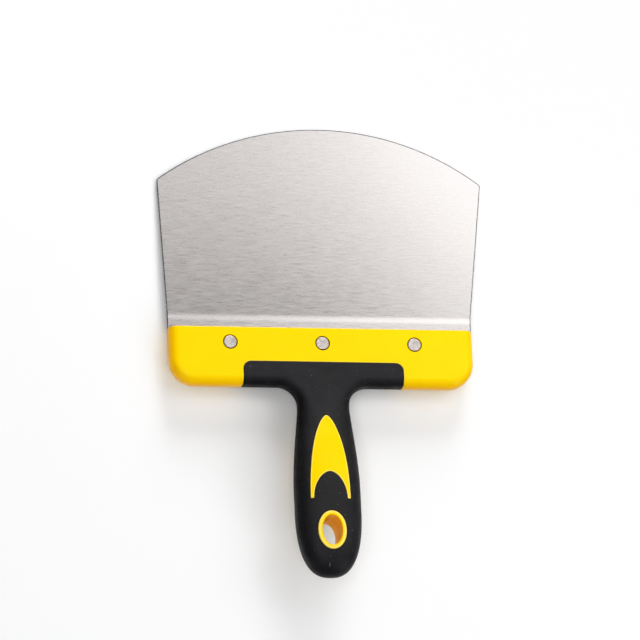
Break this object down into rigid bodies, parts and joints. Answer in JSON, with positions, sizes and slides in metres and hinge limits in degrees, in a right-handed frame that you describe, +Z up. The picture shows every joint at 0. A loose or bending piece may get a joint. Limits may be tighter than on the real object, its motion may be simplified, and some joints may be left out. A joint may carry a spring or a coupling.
{
  "type": "wide scraper",
  "caption": "Wide hand scraper: stainless blade with a curved edge and a shallow bend, riveted into a clamp bar on a plastic and rubber handle with an oval hang hole.",
  "frame": {"origin": "On the table, under the middle of the tool's box, as it lies at rest on the blade's tip and the bar's lower front edge.", "axes": "+Y along the tool towards the blade's curved edge, +Z up out of the front face, +X across the blade."},
  "size_m": [0.1998, 0.2726, 0.0501],
  "materials": {
    "blade_steel": "satin",
    "yellow_plastic": "satin",
    "black_rubber": "matte",
    "rivet_metal": "satin"
  },
  "bodies": {
    "root": {"blade": "blade_steel", "handle_core": "yellow_plastic", "grip_overmould": "black_rubber", "rivet_left_post": "rivet_metal", "rivet_left_cap": "rivet_metal", "rivet_centre_post": "rivet_metal", "rivet_centre_cap": "rivet_metal", "rivet_right_post": "rivet_metal", "rivet_right_cap": "rivet_metal"}
  },
  "joints": []
}
